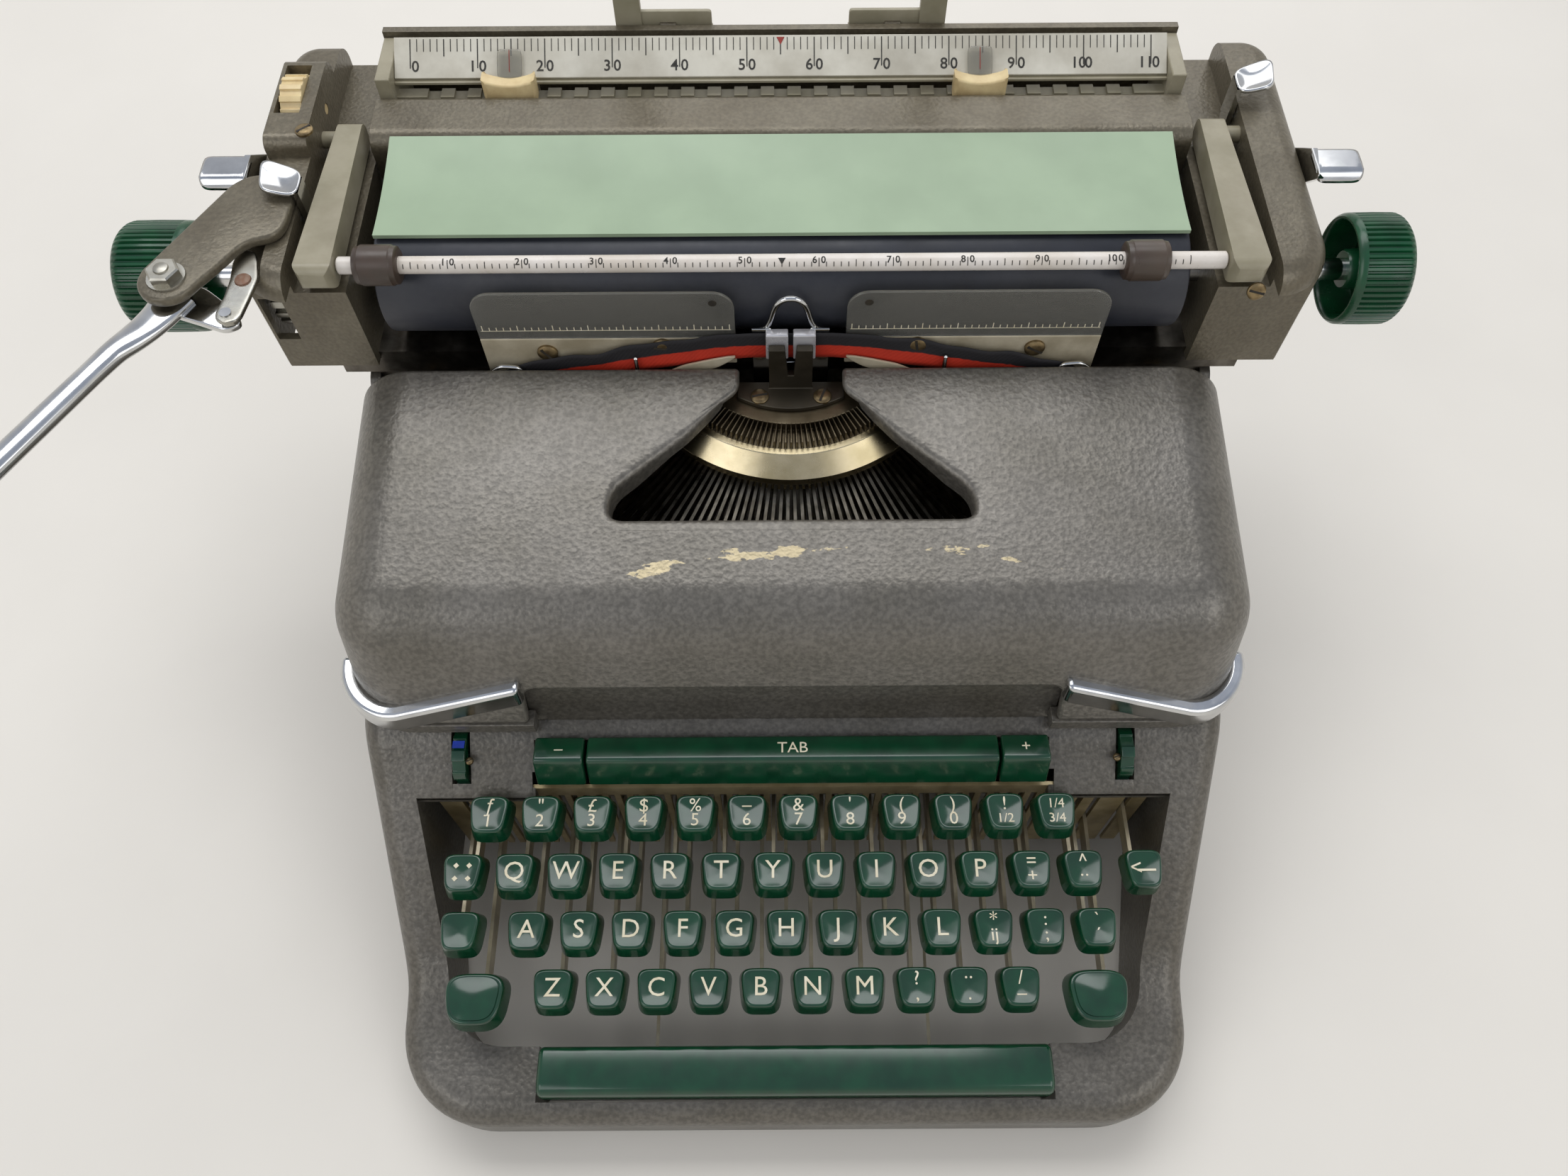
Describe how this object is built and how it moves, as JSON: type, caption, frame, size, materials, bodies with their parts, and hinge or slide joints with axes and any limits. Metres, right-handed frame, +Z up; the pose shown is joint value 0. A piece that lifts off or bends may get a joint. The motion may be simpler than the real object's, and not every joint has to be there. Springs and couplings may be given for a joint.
{
  "type": "manual typewriter",
  "caption": "Desktop manual typewriter with stepped key rows, hinged hood, sliding carriage with platen and paper bail, type basket and line-space lever.",
  "frame": {"origin": "on the desk, under the middle of the whole object", "axes": "+X towards the right-hand platen knob, +Y from the space bar towards the back, +Z up"},
  "size_m": [0.5084, 0.3756, 0.277],
  "materials": {
    "hammered_paint": "satin hammered enamel",
    "green_plastic": "polished, slightly worn",
    "green_enamel": "satin enamel",
    "grey_green_enamel": "satin enamel",
    "dark_enamel": "satin enamel",
    "chrome": "polished",
    "steel": "machined, oiled",
    "scale_aluminium": "satin",
    "comb_brass": "aged",
    "cream_plastic": "moulded",
    "clear_plastic": "clear sheet",
    "platen_rubber": "hard, matt",
    "foot_rubber": "matt",
    "roller_rubber": "matt",
    "ribbon_cloth": "inked cloth"
  },
  "bodies": {
    "frame": {"lower_casing": "hammered_paint", "chassis": "steel", "rubber_feet": "foot_rubber", "carriage_rails": "steel", "key_comb": "comb_brass", "key_shaft": "steel", "card_brackets": "steel", "card_plates": "clear_plastic", "ribbon": "ribbon_cloth"},
    "hood": {"hood": "hammered_paint", "chrome_trim": "chrome"},
    "carriage": {"carriage_bed": "steel", "left_end_cover": "hammered_paint", "right_end_cover": "hammered_paint", "paper_table": "green_enamel", "rear_cover": "dark_enamel", "margin_rail": "grey_green_enamel", "margin_scale": "scale_aluminium", "lever_bracket": "chrome"},
    "platen": {"platen_roller": "platen_rubber", "platen_shaft": "steel", "platen_knobs": "green_plastic", "line_ratchet": "steel"},
    "bail": {"bail_arms": "grey_green_enamel", "bail_rod": "steel"},
    "basket": {"segment": "steel", "typebars": "steel", "type_guide": "chrome", "typebar_rest": "steel"},
    "vibrator": {"ribbon_vibrator": "steel", "line_gauge": "steel"},
    "bail_roller_left": {"bail_roller_left": "roller_rubber"},
    "bail_roller_right": {"bail_roller_right": "roller_rubber"},
    "return_lever": {"return_lever": "chrome"},
    "lever_link": {"lever_link": "chrome"},
    "margin_stop_left": {"margin_stop_left": "cream_plastic"},
    "margin_stop_right": {"margin_stop_right": "cream_plastic"},
    "paper_supports": {"paper_supports": "steel"},
    "carriage_releases": {"carriage_releases": "chrome"},
    "paper_release": {"paper_release": "chrome"},
    "detent_release": {"detent_release": "chrome"},
    "spacing_selector": {"spacing_selector": "cream_plastic"},
    "left_spool": {"left_spool": "steel"},
    "right_spool": {"right_spool": "steel"},
    "mainspring_drum": {"mainspring_drum": "steel"},
    "escapement_wheel": {"escapement_wheel": "steel"},
    "number_row": {"number_row": "green_plastic"},
    "upper_row": {"upper_row": "green_plastic"},
    "home_row": {"home_row": "green_plastic"},
    "lower_row": {"lower_row": "green_plastic"},
    "space_bar": {"space_bar": "green_plastic"},
    "tab_bar": {"tab_bar": "green_plastic"},
    "tab_minus": {"tab_minus": "green_plastic"},
    "tab_plus": {"tab_plus": "green_plastic"},
    "shift_keys": {"shift_keys": "green_plastic"},
    "shift_lock": {"shift_lock": "green_plastic"},
    "backspace": {"backspace": "green_plastic"},
    "margin_release": {"margin_release": "green_plastic"},
    "ribbon_selector": {"ribbon_selector": "green_plastic"},
    "touch_lever": {"touch_lever": "green_plastic"}
  },
  "joints": [
    {"name": "hood_hinge", "type": "hinge", "parent": "frame", "child": "hood", "pos_m": [0.03325, -0.06085, 0.101], "axis": [1, 0, 0], "range_deg": [0, 50]},
    {"name": "carriage_travel", "type": "slide", "parent": "frame", "child": "carriage", "axis": [-1, 0, 0], "range_m": [-0.13, 0.13]},
    {"name": "platen_turn", "type": "hinge", "parent": "carriage", "child": "platen", "pos_m": [0.03025, 0.08515, 0.1865], "axis": [1, 0, 0], "continuous": true},
    {"name": "bail_lift", "type": "hinge", "parent": "carriage", "child": "bail", "pos_m": [0.03025, 0.13415, 0.206], "axis": [-1, 0, 0], "range_deg": [0, 35]},
    {"name": "bail_roller_left_slide", "type": "slide", "parent": "bail", "child": "bail_roller_left", "axis": [1, 0, 0], "range_m": [-0.005, 0.1]},
    {"name": "bail_roller_right_slide", "type": "slide", "parent": "bail", "child": "bail_roller_right", "axis": [1, 0, 0], "range_m": [-0.1, 0.019]},
    {"name": "return_lever_swing", "type": "hinge", "parent": "carriage", "child": "return_lever", "pos_m": [-0.17475, 0.05615, 0.208], "axis": [0, 0, 1], "range_deg": [0, 26], "stiffness_Nm_per_rad": 0.5, "springref_deg": -17.19},
    {"name": "lever_link_slide", "type": "slide", "parent": "carriage", "child": "lever_link", "axis": [0, 1, 0], "range_m": [0, 0.0099]},
    {"name": "margin_stop_left_slide", "type": "slide", "parent": "carriage", "child": "margin_stop_left", "axis": [1, 0, 0], "range_m": [-0.033, 0.08]},
    {"name": "margin_stop_right_slide", "type": "slide", "parent": "carriage", "child": "margin_stop_right", "axis": [1, 0, 0], "range_m": [-0.07, 0.06]},
    {"name": "paper_supports_fold", "type": "hinge", "parent": "carriage", "child": "paper_supports", "pos_m": [0.03025, 0.18385, 0.215], "axis": [-1, 0, 0], "range_deg": [0, 90]},
    {"name": "carriage_release_press", "type": "hinge", "parent": "carriage", "child": "carriage_releases", "pos_m": [0.03025, 0.12415, 0.199], "axis": [1, 0, 0], "range_deg": [0, 10], "stiffness_Nm_per_rad": 0.3, "springref_deg": -11.46},
    {"name": "paper_release_pull", "type": "hinge", "parent": "carriage", "child": "paper_release", "pos_m": [0.19825, 0.14615, 0.204], "axis": [1, 0, 0], "range_deg": [0, 25]},
    {"name": "detent_release_pull", "type": "hinge", "parent": "carriage", "child": "detent_release", "pos_m": [-0.13775, 0.09615, 0.204], "axis": [1, 0, 0], "range_deg": [0, 12]},
    {"name": "spacing_selector_turn", "type": "hinge", "parent": "carriage", "child": "spacing_selector", "pos_m": [-0.14875, 0.14615, 0.21], "axis": [1, 0, 0], "range_deg": [-40, 40]},
    {"name": "basket_shift", "type": "slide", "parent": "frame", "child": "basket", "axis": [0, 0, -1], "range_m": [0, 0.00635], "stiffness_N_per_m": 2500, "springref_m": -0.006},
    {"name": "shift_keys_press", "type": "hinge", "parent": "frame", "child": "shift_keys", "pos_m": [0.03325, 0.10215, 0.045], "axis": [1, 0, 0], "range_deg": [0, 3.3], "stiffness_Nm_per_rad": 0.6, "springref_deg": -5.73},
    {"name": "left_spool_turn", "type": "hinge", "parent": "frame", "child": "left_spool", "pos_m": [-0.07875, 0.02115, 0.145], "axis": [0, 0, 1], "continuous": true},
    {"name": "right_spool_turn", "type": "hinge", "parent": "frame", "child": "right_spool", "pos_m": [0.14525, 0.02115, 0.145], "axis": [0, 0, 1], "continuous": true},
    {"name": "drum_turn", "type": "hinge", "parent": "frame", "child": "mainspring_drum", "pos_m": [-0.07875, 0.11915, 0.112], "axis": [0, 1, 0], "range_deg": [-270, 270]},
    {"name": "escapement_turn", "type": "hinge", "parent": "frame", "child": "escapement_wheel", "pos_m": [0.06325, 0.10645, 0.124], "axis": [0, 0, 1], "range_deg": [-1250, 1250]},
    {"name": "number_row_press", "type": "hinge", "parent": "frame", "child": "number_row", "pos_m": [0.03325, 0.10215, 0.045], "axis": [1, 0, 0], "range_deg": [0, 4.2], "stiffness_Nm_per_rad": 2, "springref_deg": -5.73},
    {"name": "upper_row_press", "type": "hinge", "parent": "frame", "child": "upper_row", "pos_m": [0.03325, 0.10215, 0.045], "axis": [1, 0, 0], "range_deg": [0, 3.8], "stiffness_Nm_per_rad": 2, "springref_deg": -5.73},
    {"name": "home_row_press", "type": "hinge", "parent": "frame", "child": "home_row", "pos_m": [0.03325, 0.10215, 0.045], "axis": [1, 0, 0], "range_deg": [0, 3.5], "stiffness_Nm_per_rad": 2, "springref_deg": -5.73},
    {"name": "lower_row_press", "type": "hinge", "parent": "frame", "child": "lower_row", "pos_m": [0.03325, 0.10215, 0.045], "axis": [1, 0, 0], "range_deg": [0, 3.2], "stiffness_Nm_per_rad": 2, "springref_deg": -5.73},
    {"name": "margin_release_press", "type": "hinge", "parent": "frame", "child": "margin_release", "pos_m": [0.03325, 0.10215, 0.045], "axis": [1, 0, 0], "range_deg": [0, 3.8], "stiffness_Nm_per_rad": 0.4, "springref_deg": -5.73},
    {"name": "backspace_press", "type": "hinge", "parent": "frame", "child": "backspace", "pos_m": [0.03325, 0.10215, 0.045], "axis": [1, 0, 0], "range_deg": [0, 3.8], "stiffness_Nm_per_rad": 0.4, "springref_deg": -5.73},
    {"name": "shift_lock_press", "type": "hinge", "parent": "frame", "child": "shift_lock", "pos_m": [0.03325, 0.10215, 0.045], "axis": [1, 0, 0], "range_deg": [0, 3.5], "stiffness_Nm_per_rad": 0.4, "springref_deg": -5.73},
    {"name": "space_bar_press", "type": "hinge", "parent": "frame", "child": "space_bar", "pos_m": [0.03325, 0.10215, 0.045], "axis": [1, 0, 0], "range_deg": [0, 1.7], "stiffness_Nm_per_rad": 3, "springref_deg": -5.73},
    {"name": "tab_minus_press", "type": "hinge", "parent": "frame", "child": "tab_minus", "pos_m": [0.03325, -0.02385, 0.086], "axis": [1, 0, 0], "range_deg": [0, 4], "stiffness_Nm_per_rad": 0.1, "springref_deg": -5.73},
    {"name": "tab_bar_press", "type": "hinge", "parent": "frame", "child": "tab_bar", "pos_m": [0.03325, -0.02385, 0.086], "axis": [1, 0, 0], "range_deg": [0, 4], "stiffness_Nm_per_rad": 0.4, "springref_deg": -5.73},
    {"name": "tab_plus_press", "type": "hinge", "parent": "frame", "child": "tab_plus", "pos_m": [0.03325, -0.02385, 0.086], "axis": [1, 0, 0], "range_deg": [0, 4], "stiffness_Nm_per_rad": 0.1, "springref_deg": -5.73},
    {"name": "ribbon_selector_turn", "type": "hinge", "parent": "frame", "child": "ribbon_selector", "pos_m": [-0.09125, -0.06325, 0.086], "axis": [1, 0, 0], "range_deg": [-20, 20]},
    {"name": "touch_lever_turn", "type": "hinge", "parent": "frame", "child": "touch_lever", "pos_m": [0.15775, -0.06325, 0.086], "axis": [1, 0, 0], "range_deg": [-20, 20]},
    {"name": "vibrator_lift", "type": "slide", "parent": "frame", "child": "vibrator", "axis": [0, 0, 1], "range_m": [0, 0.0045], "stiffness_N_per_m": 60, "springref_m": -0.004}
  ],
  "couplings": [
    {"joint": "shift_keys_press", "follows": "basket_shift", "rad_per_m": 8.79},
    {"joint": "lever_link_slide", "follows": "return_lever_swing", "m_per_rad": 0.02177},
    {"joint": "right_spool_turn", "follows": "left_spool_turn", "ratio": 1},
    {"joint": "drum_turn", "follows": "carriage_travel", "rad_per_m": -34.48},
    {"joint": "escapement_turn", "follows": "carriage_travel", "rad_per_m": -162.6}
  ]
}
